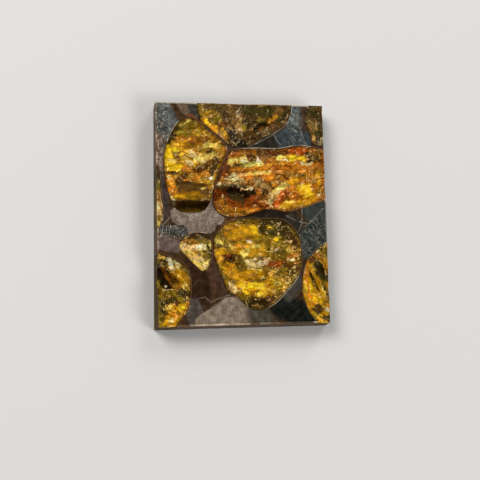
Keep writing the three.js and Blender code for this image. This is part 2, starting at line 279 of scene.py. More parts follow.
def distance_to_line(graph, place, start, end):
    """The distance in metres from each place to a straight line between two points."""
    start_place = Vector((start[0] * MM, start[1] * MM, 0))
    way = Vector((end[0] * MM, end[1] * MM, 0)) - start_place
    from_start = graph.node("VectorMath", {0: place, 1: start_place}, operation="SUBTRACT").outputs[0]
    along = {0: from_start, 1: way / way.length_squared}
    share = graph.node("VectorMath", along, operation="DOT_PRODUCT").outputs["Value"]
    share = graph.math("ADD", share, clamp=True)
    nearest = graph.node("VectorMath", {0: way, 3: share}, operation="SCALE").outputs[0]
    return graph.node("VectorMath", {0: from_start, 1: nearest}, operation="DISTANCE").outputs["Value"]


def zone_share(graph, place, start, end, half_width, softness):
    """1 within the half width of a line between two points, 0 outside it and a soft edge between."""
    distance = distance_to_line(graph, place, start, end)
    near = (half_width - softness / 2) * MM
    far = (half_width + softness / 2) * MM
    return graph.between(distance, near, far, 1.0, 0.0)


def strongest(graph, values):
    """The largest of the values, which are made one by one so that few wait at the same time."""
    result = 0.0
    for value in values:
        result = graph.math("MAXIMUM", result, value)
    return result


def tone_and_reflection_colours(graph, flat):
    """The metal's zones, grain tones and painted reflections, with uneven edges."""
    uneven = graph.warp(graph.warp(flat, 1.5, 0.22), 0.35, 0.1)
    colour = METAL_GROUND
    for zone_tone_and_reflection, *zone in METAL_TONES_AND_REFLECTIONS:
        colour = graph.mix(zone_share(graph, uneven, *zone), colour, zone_tone_and_reflection)
    return colour


def scratched_share(graph, flat):
    """How scratched the polish is, from 0 to 1."""
    parts = (graph.math("MULTIPLY", zone_share(graph, flat, *part, SCRATCHED_FADE), strength)
             for *part, strength in SCRATCHED_PARTS)
    return strongest(graph, parts)


def metal_grain(graph, place, speckle, cloud, scratched):
    """The brightness of the grain: strongly speckled where scratched, faintly brushed everywhere."""
    speckled = graph.mix(scratched, graph.grey(graph.between(speckle, 0.0, 1.0, 0.9, 1.1)),
                         graph.grey(graph.between(speckle, 0.0, 1.0, 0.45, 1.7)))
    brushed = graph.noise(graph.cells(place, 2.5, 0.09, 84), detail=2.0).outputs[0]
    tone = graph.math("MULTIPLY", graph.between(cloud, 0.3, 0.7, 0.82, 1.2),
                      graph.between(brushed, 0.3, 0.7, 0.9, 1.12))
    return graph.mix(1.0, speckled, graph.grey(tone), "MULTIPLY")


def crack_and_highlight_share(graph, place, flat, scratched):
    """Strong on the listed cracks and the painted highlight along the top edge, weaker on the
    scratched parts' fine web, 0 beside them.
    """
    web = graph.voronoi(graph.cells(graph.warp(place, 0.5, 0.2), 0.42), "DISTANCE_TO_EDGE").outputs[0]
    fine_web = graph.between(web, 0.02, 0.12, 0.75, 0.0)
    broken = graph.between(graph.noise(graph.cells(place, 0.35), detail=3.0).outputs[0], 0.48, 0.62)
    fine_web = graph.math("MULTIPLY", graph.math("MULTIPLY", fine_web, broken), scratched)
    wavering = graph.warp(flat, 0.5, 0.08)
    pieces = [piece for points in METAL_CRACKS_AND_TOP_HIGHLIGHT for piece in zip(points, points[1:])]
    cracks = strongest(graph, (zone_share(graph, wavering, *piece, CRACK_HALF_WIDTH, CRACK_FADE)
                               for piece in pieces))
    cracks = graph.math("MULTIPLY", cracks, graph.between(broken, 0.0, 1.0, 0.5, 1.0))
    return graph.math("MAXIMUM", cracks, fine_web)


def scratch_lines(graph, place, length, width, turn, rarity):
    """Straight fine scratches: 1 on a scratch and 0 beside it."""
    streaks = graph.noise(graph.cells(place, length, width, turn), detail=1.0).outputs[0]
    return graph.between(streaks, rarity, rarity + 0.03)


def scratch_share(graph, place, scratched):
    """The scratches, strong in the scratched parts and faint outside them."""
    lines = strongest(graph, (scratch_lines(graph, place, *scratch) for scratch in SCRATCHES))
    return graph.math("MULTIPLY", lines, graph.between(scratched, 0.0, 1.0, 0.14, 0.8))


def metal_edge_colour(graph, place, flat, polish_and_reflections):
    """The metal's narrow edges: dark, here and there like the polish and its painted reflections,
    and with a painted highlight along the listed edges.
    """
    highlight_part = strongest(graph, (zone_share(graph, flat, *part, EDGE_HIGHLIGHT_FADE) for part in HIGHLIGHTED_EDGES))
    highlight_patches = graph.between(graph.noise(graph.cells(place, 0.3), detail=3.0).outputs[0], 0.35, 0.6, 0.5, 1.0)
    edge_patches = graph.noise(graph.cells(place, 0.9), detail=3.0).outputs[0]
    edge = graph.mix(graph.between(edge_patches, 0.4, 0.6, 0.1, 0.8), DARK_EDGE, polish_and_reflections)
    return graph.mix(graph.math("MULTIPLY", highlight_patches, highlight_part), edge, EDGE_HIGHLIGHT_COLOUR)


def metal_side_colour(graph, place):
    """The sawn sides: darkened as painted shade, with rust stains and slanting saw marks."""
    saw_marks = graph.noise(graph.cells(place, 3.0, 0.12, 14), detail=3.0).outputs[0]
    stain = graph.noise(graph.cells(place, 0.8), detail=5.0, roughness=0.7).outputs[0]
    stained = graph.mix(graph.between(stain, 0.42, 0.6), SHADED_SAWN_METAL, RUST_STAIN)
    return graph.mix(0.6, stained, graph.grey(saw_marks), "OVERLAY")


def metal_material():
    material = bpy.data.materials.new("nickel_iron")
    graph = Graph(material)
    place = graph.place()
    flat = graph.node("VectorMath", {0: place, 1: (1.0, 1.0, 0.0)}, operation="MULTIPLY").outputs[0]
    tones_and_reflections = tone_and_reflection_colours(graph, flat)
    scratched = scratched_share(graph, flat)
    speckle_colour = graph.voronoi(graph.cells(place, 0.13)).outputs["Color"]
    speckle = graph.node("SeparateColor", {0: speckle_colour}).outputs[0]
    cloud = graph.noise(graph.cells(place, 0.6), detail=4.0, roughness=0.6).outputs[0]
    # The polished face: grain tones and painted reflections of the surroundings, times the grain
    polish_and_reflections = graph.mix(1.0, tones_and_reflections, metal_grain(graph, place, speckle, cloud, scratched), "MULTIPLY")
    # The metal's cracks, with the painted highlight along the top edge
    cracks = crack_and_highlight_share(graph, place, flat, scratched)
    scratches = scratch_share(graph, place, scratched)
    lines = graph.math("MULTIPLY", graph.math("MAXIMUM", cracks, scratches), 0.85)
    polish_and_reflections = graph.mix(lines, polish_and_reflections, BRIGHT_LINE)

    up = graph.node("SeparateXYZ", {0: graph.node("NewGeometry", {}).outputs["Normal"]}).outputs[2]
    is_level = graph.between(up, 0.8, 0.95)
    colour = graph.mix(is_level, metal_edge_colour(graph, place, flat, polish_and_reflections), polish_and_reflections)
    is_side = graph.between(graph.math("ABSOLUTE", up), 0.3, 0.5, 1.0, 0.0)
    colour = graph.mix(is_side, colour, metal_side_colour(graph, place))

    polish_roughness = graph.between(cloud, 0.3, 0.7, 0.14, 0.26)
    roughness = graph.mix(is_side, graph.grey(polish_roughness), graph.grey(0.8))
    metallic = graph.between(is_side, 0.0, 1.0, 1.0, 0.3)
    height = graph.math("SUBTRACT", graph.math("MULTIPLY", speckle, 0.25), scratches)
    bump = graph.node("Bump", {"Height": height, "Distance": 0.005 * MM, "Strength": 0.5})
    inputs = {"Base Color": colour, "Metallic": metallic, "Roughness": roughness,
              "Normal": bump.outputs[0]}
    graph.finish(graph.node("BsdfPrincipled", inputs))
    return material


# The tints of olivine, from clear to stained and dark. The whitest is a painted glint of light, and
# cream is pale olivine and, in a few strokes along edges, a painted highlight
TINTS = {
    "painted_glint": (0.93, 0.86, 0.64),
    "cream": (0.90, 0.70, 0.33),
    "pale": (0.86, 0.66, 0.14),
    "lemon": (0.93, 0.64, 0.015),
    "gold": (0.62, 0.335, 0.008),
    "honey": (0.38, 0.185, 0.006),
    "orange": (0.64, 0.235, 0.014),
    "amber": (0.33, 0.120, 0.006),
    "fire": (0.46, 0.090, 0.006),
    "red": (0.24, 0.054, 0.005),
    "rust": (0.10, 0.034, 0.005),
    "olive": (0.20, 0.130, 0.006),
    "tan": (0.34, 0.20, 0.065),
    "umber": (0.135, 0.072, 0.016),
    "brown": (0.060, 0.033, 0.008),
    "moss": (0.033, 0.027, 0.004),
    "black": (0.004, 0.003, 0.001),
}

# The kinds of olivine: how much light goes through, what the stone absorbs from it and how densely, and
# the tint of its reflections, because its cracks colour the light that they send back
OLIVINES = {
    "olivine_yellow": {"transmits": 0.5, "keeps": rgb(0.92, 0.72, 0.11), "density": 440,
                       "glint": rgb(1.0, 0.75, 0.33)},
    "olivine_amber": {"transmits": 0.5, "keeps": rgb(0.96, 0.55, 0.10), "density": 480,
                      "glint": rgb(1.0, 0.75, 0.38)},
    "olivine_brown": {"transmits": 0.3, "keeps": rgb(0.85, 0.62, 0.20), "density": 700,
                      "glint": rgb(1.0, 0.87, 0.62)},
    "olivine_pale": {"transmits": 0.5, "keeps": rgb(0.92, 0.82, 0.35), "density": 320,
                     "glint": rgb(1.0, 0.87, 0.62)},
}

# Each crystal has a ground tint and strokes painted over it, one after the other: a tint, the two
# ends of the stroke's middle line in millimetres and its half width. Its clear parts, given in the
# same way, are smooth and hardly broken. The grain has a turn in degrees and a stretch along it.
CRYSTALS = {
    "olivine_upper_left": {
        "slot": "olivine_yellow", "turn": 12, "stretch": 1.4,
        "ground": "honey",
        "strokes": [
            ("olive", -6.0, 9.2, -4.9, 9.5, 0.6),
            ("olive", -5.4, 8.4, -4.4, 8.4, 0.5),
            ("honey", -4.3, 8.3, -3.6, 7.9, 0.45),
            ("moss", -6.3, 8.5, -7.4, 6.8, 0.38),
            ("olive", -6.2, 8.2, -5.6, 8.2, 0.3),
            ("pale", -6.0, 9.1, -5.0, 9.5, 0.07),
            ("amber", -5.9, 7.5, -3.4, 7.6, 0.35),
            ("orange", -4.9, 7.6, -4.4, 7.5, 0.2),
            ("gold", -6.6, 7.1, -5.7, 7.3, 0.3),
            ("olive", -6.4, 6.0, -5.6, 6.0, 0.45),
            ("lemon", -7.35, 6.45, -7.2, 5.3, 0.42),
            ("pale", -7.2, 5.5, -6.8, 5.3, 0.22),
            ("lemon", -6.7, 6.5, -5.7, 6.6, 0.16),
            ("gold", -5.4, 6.0, -4.4, 5.0, 0.6),
            ("cream", -4.9, 6.2, -4.5, 5.9, 0.26),
            ("pale", -4.3, 5.5, -2.7, 6.0, 0.34),
            ("cream", -4.2, 5.5, -3.5, 5.35, 0.16),
            ("pale", -3.6, 7.0, -2.2, 6.85, 0.22),
            ("brown", -3.3, 6.4, -2.6, 6.4, 0.14),
            ("cream", -5.3, 5.2, -4.9, 5.1, 0.24),
            ("lemon", -7.2, 4.7, -5.9, 4.6, 0.34),
            ("orange", -5.6, 4.4, -3.6, 4.0, 0.4),
            ("rust", -4.4, 4.4, -2.4, 5.3, 0.36),
            ("brown", -2.9, 4.0, -2.4, 5.7, 0.3),
            ("rust", -7.6, 4.1, -6.6, 4.1, 0.18),
            ("orange", -7.3, 3.6, -6.9, 2.4, 0.4),
            ("cream", -7.4, 3.6, -7.2, 3.5, 0.12),
            ("rust", -6.3, 3.4, -5.6, 3.9, 0.32),
            ("brown", -6.2, 2.9, -5.2, 2.9, 0.4),
            ("umber", -5.9, 2.5, -3.9, 2.6, 0.5),
            ("honey", -5.9, 2.05, -4.4, 2.1, 0.26),
            ("umber", -3.9, 2.7, -3.4, 2.2, 0.4),
            ("pale", -4.0, 2.6, -3.6, 2.7, 0.09),
            # A thin orange line and a white one: a painted highlight along the lower plate's upper edge
            ("orange", -5.7, 3.35, -3.8, 3.7, 0.07),
            ("painted_glint", -3.5, 3.55, -2.95, 3.6, 0.09),
            ("gold", -6.4, 1.8, -5.5, 1.75, 0.17),
            ("olive", -5.4, 1.7, -3.4, 1.6, 0.15),
            # The pocket at the bottom: its umber and brown are painted shade in the recess
            ("umber", -6.4, 0.75, -3.4, 0.8, 0.62),
            ("rust", -5.9, 1.2, -3.9, 1.2, 0.2),
            ("olive", -6.1, 0.5, -4.2, 0.4, 0.3),
            ("brown", -5.9, 1.0, -4.2, 1.0, 0.3),
            ("honey", -5.6, 0.45, -4.6, 0.4, 0.1),
            ("cream", -7.25, 1.9, -7.1, 1.7, 0.2),
            ("painted_glint", -6.8, 1.3, -6.75, 1.1, 0.14),
        ],
        "clear": [(-5.6, 2.4, -4.3, 2.5, 1.0), (-7.2, 6.3, -7.0, 4.9, 0.45),
                  (-7.1, 5.0, -6.3, 4.8, 0.4), (-5.9, 0.6, -4.0, 0.6, 0.6)],
    },
    "olivine_top": {
        "slot": "olivine_brown", "turn": 32, "stretch": 1.5,
        "ground": "brown",
        "strokes": [
            ("olive", -3.8, 10.8, -2.2, 9.9, 0.6),
            ("brown", -3.2, 10.9, -2.0, 10.9, 0.3),
            ("tan", -2.9, 10.1, -2.7, 10.0, 0.14),
            ("gold", -3.6, 9.5, -2.5, 8.5, 0.42),
            ("lemon", -3.3, 9.5, -3.1, 9.3, 0.2),
            ("olive", -2.5, 9.4, -2.2, 9.6, 0.25),
            ("tan", -1.9, 7.9, -1.3, 7.2, 0.3),
            ("honey", -1.7, 9.0, -1.4, 7.9, 0.25),
            ("rust", -1.9, 9.2, -1.3, 9.3, 0.3),
            ("tan", -1.0, 9.0, -0.7, 8.5, 0.2),
            ("black", -0.7, 8.3, -0.1, 7.2, 0.35),
            ("umber", -0.6, 10.8, -0.2, 9.4, 0.4),
            ("tan", 0.1, 10.0, 0.3, 9.4, 0.12),
            ("tan", -0.1, 9.0, 0.6, 8.8, 0.28),
            ("olive", 0.5, 9.0, 0.8, 8.6, 0.25),
            ("moss", 1.2, 10.6, 3.2, 10.6, 0.55),
            ("olive", 2.2, 9.7, 2.9, 9.6, 0.25),
            ("umber", 2.6, 9.2, 4.4, 10.6, 0.34),
            ("honey", 3.1, 9.5, 4.0, 10.2, 0.14),
            ("brown", 1.0, 8.5, 2.2, 8.1, 0.3),
            ("tan", 1.6, 8.7, 3.0, 9.05, 0.24),
            ("orange", 2.0, 8.85, 2.6, 9.0, 0.08),
            ("rust", 3.0, 9.1, 4.2, 9.3, 0.18),
            ("moss", 4.3, 9.6, 5.0, 10.6, 0.25),
            ("black", -0.2, 7.4, 0.5, 7.1, 0.3),
            # A thin tan line along the plate's top edge: a painted highlight of that edge
            ("tan", -4.0, 11.38, 5.6, 11.33, 0.04),
        ],
        "clear": [(1.2, 10.6, 3.4, 10.5, 0.7), (0.4, 8.2, 2.0, 7.9, 0.5),
                  (3.0, 9.4, 4.4, 10.4, 0.4), (-4.0, 11.38, 5.6, 11.33, 0.12)],
    },
    "olivine_top_right": {
        "slot": "olivine_brown", "turn": 80, "stretch": 1.3,
        "ground": "brown",
        "strokes": [
            ("umber", 7.5, 9.6, 7.9, 8.2, 0.3),
            ("moss", 7.6, 10.8, 8.4, 10.2, 0.4),
            ("tan", 8.1, 9.7, 8.2, 8.9, 0.12),
            ("moss", 8.4, 8.6, 8.4, 7.4, 0.3),
            ("tan", 7.8, 8.1, 7.9, 7.7, 0.12),
        ],
        "clear": [],
    },
    "olivine_band": {
        "slot": "olivine_amber", "turn": 4, "stretch": 2.0,
        "ground": "amber",
        "strokes": [
            ("fire", -1.3, 5.9, 0.0, 6.1, 0.18),
            ("red", -1.9, 5.2, -1.7, 4.0, 0.32),
            ("rust", -2.3, 4.4, -2.2, 3.3, 0.25),
            ("rust", -1.5, 5.9, -1.1, 4.2, 0.22),
            ("pale", -0.7, 5.3, 0.4, 5.3, 0.42),
            ("olive", -0.5, 4.9, 0.3, 5.1, 0.12),
            ("painted_glint", 0.3, 5.45, 0.5, 5.4, 0.13),
            ("brown", -0.6, 5.3, -0.1, 4.7, 0.06),
            ("rust", 0.9, 5.9, 1.6, 5.6, 0.36),
            ("cream", 0.5, 5.85, 0.85, 5.2, 0.07),
            ("pale", 0.9, 4.9, 2.1, 5.2, 0.3),
            ("painted_glint", 1.8, 5.8, 2.1, 5.3, 0.09),
            ("rust", 2.2, 6.2, 3.9, 6.2, 0.34),
            ("rust", 4.0, 6.3, 4.8, 6.4, 0.2),
            ("tan", 2.4, 5.75, 2.6, 5.7, 0.16),
            ("pale", 3.9, 5.8, 5.1, 5.7, 0.26),
            ("painted_glint", 4.5, 5.65, 4.8, 5.6, 0.14),
            ("lemon", 5.2, 5.9, 6.6, 5.7, 0.28),
            ("fire", 5.5, 6.5, 6.7, 6.4, 0.32),
            ("brown", 7.1, 6.2, 8.3, 5.7, 0.24),
            ("black", 7.3, 5.5, 7.9, 5.4, 0.1),
            ("orange", -0.9, 4.5, 1.8, 4.8, 0.14),
            ("orange", 2.0, 4.7, 3.8, 4.95, 0.2),
            ("fire", 3.3, 4.8, 4.4, 4.9, 0.14),
            ("orange", 4.4, 4.9, 7.9, 5.0, 0.3),
            ("cream", 6.3, 5.15, 7.6, 5.2, 0.11),
            ("amber", 0.0, 4.35, 8.2, 4.55, 0.13),
            ("orange", 4.2, 4.3, 7.6, 4.2, 0.24),
            ("cream", -0.8, 3.95, 0.8, 4.0, 0.16),
            ("pale", 0.8, 4.1, 3.0, 4.2, 0.2),
            ("cream", 1.7, 4.15, 2.4, 4.15, 0.1),
            ("orange", 0.3, 3.6, 2.0, 3.65, 0.18),
            ("cream", -1.6, 3.55, 0.2, 3.5, 0.13),
            ("orange", 2.6, 3.8, 5.0, 3.7, 0.28),
            ("honey", 5.2, 3.9, 7.8, 3.5, 0.42),
            ("gold", 5.2, 3.2, 5.8, 3.6, 0.25),
            ("tan", 1.8, 3.3, 3.2, 1.9, 0.5),
            ("brown", 2.2, 2.6, 2.6, 2.2, 0.16),
            ("cream", 1.8, 3.4, 2.2, 3.1, 0.12),
            ("brown", 3.1, 3.1, 3.4, 2.4, 0.12),
            ("pale", 3.6, 2.3, 4.5, 2.9, 0.32),
            ("cream", 3.5, 2.1, 4.4, 2.4, 0.14),
            ("orange", 5.2, 2.6, 5.3, 1.6, 0.4),
            ("gold", 6.6, 2.5, 7.3, 1.7, 0.72),
            ("lemon", 6.3, 2.75, 6.9, 2.65, 0.34),
            ("lemon", 6.9, 2.0, 7.1, 1.9, 0.34),
            ("gold", 8.1, 4.2, 8.2, 2.2, 0.3),
            ("fire", 4.6, 2.2, 3.7, 1.1, 0.34),
            ("gold", 4.4, 0.9, 7.0, 1.2, 0.34),
            ("pale", 4.8, 1.2, 5.6, 1.35, 0.13),
            ("gold", 5.9, 1.0, 6.8, 1.3, 0.16),
            ("cream", 3.1, 1.9, 3.05, 0.7, 0.13),
            ("cream", 2.5, 1.5, 3.0, 0.8, 0.1),
            ("brown", 3.3, 1.2, 3.4, 0.6, 0.12),
            ("painted_glint", 8.2, 1.95, 8.25, 1.75, 0.12),
            # The hollow: its black and brown strokes are painted shade in the recess, over the stone's
            # red and amber
            ("red", -2.2, 1.9, 0.7, 1.9, 1.0),
            ("brown", -2.2, 2.75, 0.4, 2.7, 0.35),
            ("red", -2.2, 2.0, -1.4, 1.2, 0.42),
            ("black", -0.8, 2.5, 1.1, 2.1, 0.5),
            ("amber", -2.0, 1.5, -1.4, 0.8, 0.32),
            ("brown", -1.6, 1.8, -1.5, 1.0, 0.1),
            ("brown", -0.9, 1.9, 0.2, 1.5, 0.35),
            ("brown", 0.2, 1.9, 0.3, 1.2, 0.18),
            ("red", 0.9, 1.1, 2.6, 0.7, 0.4),
            ("red", 1.2, 1.5, 1.5, 1.2, 0.36),
            ("fire", 0.6, 0.8, 1.6, 0.7, 0.14),
            ("honey", -1.3, 0.5, 0.5, 0.2, 0.3),
            ("orange", 0.0, 0.5, 1.6, 0.45, 0.14),
            ("painted_glint", -2.55, 3.0, -2.0, 3.1, 0.12),
            ("tan", -1.9, 3.1, 0.0, 3.15, 0.07),
            ("cream", 0.1, 2.5, 1.1, 2.45, 0.05),
            ("painted_glint", 1.15, 2.7, 1.2, 2.65, 0.14),
        ],
        "clear": [(-1.9, 2.0, 0.6, 2.0, 1.0), (1.0, 1.0, 2.4, 0.8, 0.55), (6.7, 2.4, 7.2, 1.9, 0.6),
                  (0.0, 4.5, 7.6, 4.7, 0.2)],
    },
    "olivine_left_edge": {
        "slot": "olivine_pale", "turn": 88, "stretch": 1.3,
        "ground": "tan",
        "strokes": [
            ("brown", -8.6, 4.6, -8.4, 3.6, 0.3),
            ("olive", -8.5, 3.1, -8.4, 2.5, 0.3),
            ("cream", -8.45, 0.9, -8.4, 0.0, 0.25),
            ("olive", -8.3, -0.4, -8.2, -0.5, 0.18),
            ("pale", -8.5, -0.9, -8.3, -1.2, 0.2),
        ],
        "clear": [],
    },
    "olivine_small": {
        "slot": "olivine_pale", "turn": -25, "stretch": 1.5,
        "ground": "pale",
        "strokes": [
            ("brown", -5.2, -2.3, -3.5, -2.3, 0.45),
            ("moss", -3.5, -2.5, -3.35, -4.4, 0.14),
            ("honey", -5.8, -2.95, -4.4, -3.0, 0.24),
            ("olive", -3.9, -2.95, -3.75, -4.5, 0.34),
            ("cream", -5.9, -3.4, -4.0, -3.45, 0.26),
            ("painted_glint", -6.2, -3.45, -6.0, -3.55, 0.14),
            ("painted_glint", -4.6, -3.4, -4.1, -3.35, 0.12),
            ("olive", -5.1, -3.85, -4.3, -3.95, 0.07),
            ("brown", -4.6, -4.15, -3.8, -4.3, 0.06),
            ("cream", -4.9, -4.6, -4.1, -4.8, 0.2),
            ("olive", -4.4, -4.95, -3.9, -4.75, 0.09),
            ("cream", -3.9, -5.3, -3.7, -5.2, 0.18),
        ],
        "clear": [],
    },
    "olivine_round": {
        "slot": "olivine_yellow", "turn": -18, "stretch": 1.3,
        "ground": "olive",
        "strokes": [
            ("gold", -0.9, -1.9, 1.3, -1.95, 0.72),
            ("olive", -1.8, -1.3, -0.4, -0.95, 0.28),
            ("honey", -1.6, -1.5, -0.7, -1.2, 0.4),
            ("honey", -0.8, -2.6, 1.2, -2.4, 0.16),
            ("lemon", 1.0, -1.5, 1.7, -1.9, 0.28),
            ("moss", 2.2, -1.0, 4.2, -1.1, 0.42),
            ("moss", 2.1, -1.7, 4.6, -1.9, 0.5),
            ("brown", 4.8, -2.2, 5.4, -3.2, 0.4),
            ("olive", 2.7, -1.5, 3.2, -1.4, 0.25),
            ("lemon", 2.75, -1.5, 2.85, -1.45, 0.13),
            ("olive", 2.5, -2.9, 3.8, -3.2, 0.42),
            ("gold", 3.1, -2.9, 3.8, -2.5, 0.22),
            ("lemon", 3.5, -2.65, 3.65, -2.6, 0.13),
            ("cream", 4.5, -2.8, 5.0, -2.85, 0.1),
            ("gold", -0.4, -3.7, 1.9, -3.7, 0.62),
            ("pale", -0.1, -4.3, 0.4, -3.9, 0.32),
            ("pale", 1.0, -3.4, 1.7, -3.3, 0.16),
            ("painted_glint", 0.6, -2.85, 0.8, -2.9, 0.15),
            ("pale", -2.7, -2.7, -2.2, -3.1, 0.22),
            ("brown", -2.5, -3.3, -2.3, -3.3, 0.16),
            ("gold", -2.4, -4.2, -1.2, -5.9, 0.62),
            ("pale", -1.2, -3.3, -0.9, -3.6, 0.22),
            ("rust", -1.6, -4.5, -1.2, -4.6, 0.36),
            ("red", -1.5, -4.4, -1.35, -4.5, 0.14),
            ("cream", 0.7, -5.05, 2.2, -4.9, 0.38),
            ("tan", 1.6, -4.55, 2.0, -4.5, 0.2),
            ("brown", 1.3, -4.9, 1.5, -4.8, 0.08),
            ("painted_glint", 1.7, -5.1, 2.3, -4.95, 0.17),
            ("tan", 3.1, -3.8, 3.9, -3.65, 0.15),
            ("painted_glint", 3.2, -3.75, 3.5, -3.7, 0.07),
            ("pale", 4.7, -3.7, 5.0, -3.9, 0.26),
            ("orange", 5.0, -4.3, 5.5, -4.2, 0.24),
            ("amber", 4.5, -4.4, 5.4, -5.0, 0.26),
            ("red", 2.7, -5.2, 4.2, -5.1, 0.3),
            ("rust", 4.2, -5.3, 5.4, -5.5, 0.24),
            ("fire", 3.4, -5.1, 3.9, -5.15, 0.12),
            ("cream", 4.6, -4.75, 5.0, -4.8, 0.14),
            ("brown", 4.3, -6.1, 5.0, -6.0, 0.25),
            ("olive", 2.3, -5.9, 4.3, -6.3, 0.35),
            ("pale", 2.7, -6.15, 3.1, -6.0, 0.17),
            ("gold", -0.8, -6.2, 1.5, -6.1, 0.42),
            ("honey", -0.3, -6.4, 1.2, -6.3, 0.28),
            ("pale", 0.4, -5.65, 1.7, -5.65, 0.08),
            ("gold", 2.6, -7.0, 3.8, -7.2, 0.6),
            ("pale", 3.2, -7.1, 3.5, -7.05, 0.22),
            ("cream", -1.4, -7.3, -1.0, -7.6, 0.32),
            ("gold", -0.3, -7.2, 2.3, -8.1, 0.6),
            ("lemon", -0.2, -7.3, 0.1, -8.0, 0.3),
            ("lemon", 0.7, -7.3, 1.7, -7.5, 0.36),
            ("honey", 0.5, -8.2, 0.9, -7.9, 0.14),
            ("lemon", 1.5, -8.2, 2.2, -8.1, 0.2),
            ("rust", 0.7, -8.8, 2.9, -8.6, 0.3),
            ("black", 0.8, -8.55, 2.1, -8.6, 0.13),
            ("brown", 0.4, -9.1, 2.4, -9.2, 0.42),
            ("tan", 0.8, -9.2, 1.9, -9.3, 0.07),
            ("tan", 2.9, -8.95, 4.2, -7.9, 0.1),
        ],
        "clear": [(-0.4, -6.3, 1.3, -6.2, 0.5), (-0.6, -1.7, 1.0, -1.8, 0.6),
                  (0.9, -9.2, 2.0, -9.2, 0.4)],
    },
    "olivine_lower_left": {
        "slot": "olivine_yellow", "turn": -55, "stretch": 1.5,
        "ground": "olive",
        "strokes": [
            ("pale", -8.4, -4.4, -8.0, -4.5, 0.16),
            ("moss", -8.3, -5.1, -7.9, -4.9, 0.25),
            ("honey", -6.9, -5.8, -6.0, -7.2, 0.62),
            ("gold", -6.4, -6.2, -6.2, -6.9, 0.22),
            ("cream", -6.8, -4.9, -6.4, -5.3, 0.17),
            ("pale", -6.1, -7.4, -5.8, -7.1, 0.2),
            ("painted_glint", -7.4, -4.65, -7.15, -5.5, 0.22),
            # The black triangle over the pit: painted shade in the recess
            ("black", -8.3, -5.7, -7.6, -7.0, 0.62),
            ("painted_glint", -7.8, -7.15, -7.6, -7.1, 0.09),
            ("amber", -8.1, -5.5, -6.4, -8.3, 0.13),
            ("cream", -8.0, -7.55, -7.2, -7.6, 0.07),
            ("olive", -8.2, -8.2, -7.2, -8.1, 0.4),
            ("moss", -8.3, -9.0, -7.0, -8.8, 0.3),
            ("moss", -6.3, -7.9, -5.7, -8.6, 0.45),
            ("tan", -5.9, -8.3, -5.8, -8.8, 0.12),
            ("black", -8.2, -9.6, -8.0, -9.9, 0.25),
            ("gold", -7.4, -9.6, -5.9, -9.6, 0.5),
            ("pale", -7.7, -9.6, -7.4, -9.3, 0.17),
            ("orange", -6.0, -9.2, -5.6, -9.2, 0.2),
            ("lemon", -6.4, -9.6, -6.1, -9.5, 0.24),
            ("rust", -6.9, -9.2, -6.7, -9.0, 0.12),
            ("gold", -7.6, -10.5, -6.6, -10.4, 0.4),
            ("orange", -7.2, -10.1, -6.9, -10.3, 0.16),
            ("cream", -7.6, -10.8, -7.3, -10.6, 0.16),
            ("honey", -8.0, -11.0, -7.2, -11.1, 0.25),
        ],
        "clear": [(-8.2, -5.8, -7.7, -6.9, 0.6), (-6.7, -6.0, -6.1, -7.0, 0.4)],
    },
    "olivine_lower_right": {
        "slot": "olivine_yellow", "turn": -66, "stretch": 2.2,
        "ground": "gold",
        "strokes": [
            ("olive", 8.1, -3.6, 8.6, -4.2, 0.4),
            ("cream", 7.5, -3.75, 7.8, -3.9, 0.17),
            ("rust", 7.3, -4.1, 6.8, -4.9, 0.26),
            ("amber", 7.6, -4.2, 8.5, -5.8, 0.24),
            ("moss", 7.5, -5.2, 8.4, -6.7, 0.5),
            ("honey", 7.9, -4.8, 8.4, -6.0, 0.06),
            ("olive", 8.2, -7.2, 8.6, -9.0, 0.35),
            ("orange", 6.45, -4.9, 6.2, -6.4, 0.28),
            ("cream", 6.3, -5.2, 6.15, -6.2, 0.09),
            ("lemon", 6.6, -7.6, 7.5, -9.2, 0.4),
            ("orange", 6.4, -7.0, 6.9, -9.3, 0.12),
            # The black line down the crack: painted shade in the crack
            ("black", 6.75, -6.2, 7.0, -6.7, 0.1),
            ("black", 7.0, -6.7, 7.25, -7.3, 0.12),
            ("black", 7.25, -7.3, 7.5, -7.8, 0.09),
            ("cream", 7.2, -6.8, 7.45, -7.45, 0.05),
            ("pale", 7.9, -7.3, 8.3, -8.6, 0.07),
            ("black", 8.0, -7.2, 8.6, -8.8, 0.07),
            ("lemon", 7.6, -8.9, 7.8, -9.3, 0.24),
            ("brown", 7.4, -9.8, 8.5, -10.6, 0.5),
            ("gold", 7.9, -10.3, 8.2, -10.1, 0.2),
            ("painted_glint", 8.35, -9.8, 8.45, -9.9, 0.11),
        ],
        "clear": [(6.35, -5.2, 6.3, -7.0, 0.3), (7.9, -5.6, 8.3, -6.6, 0.4),
                  (6.8, -6.2, 7.5, -7.8, 0.25)],
    },
}

# The fine meshes: points closer than the weld become one, and in each pass every edge that is longer
# than the fine length on the broken top, or the coarse length elsewhere, is cut in half
WELD = 0.0005 * MM
FINE_EDGE = 0.11 * MM
COARSE_EDGE = 0.5 * MM
SPLITTING_PASSES = 5

# In millimetres: how near the plate's sides a crystal counts as sawn, how wide the painted shade along
# the rim beside the metal is, and how far in from its outline the breaking reaches full depth
SAWN_MARGIN = 0.5
RIM_WIDTH = 0.2
BREAKING_WIDTH = 0.3

# A face belongs to the broken top when its normal's z is over this, and to the sides between this and
# its negative
UPWARD = 0.3

# A painted stroke is full up to the first share of its half width and gone at the second
STROKE_FULL = 0.7
STROKE_GONE = 1.35

# How many cells of broken faces there are each way, and how many waves make up a smooth wander
BROKEN_CELLS = 120
WAVES = 8

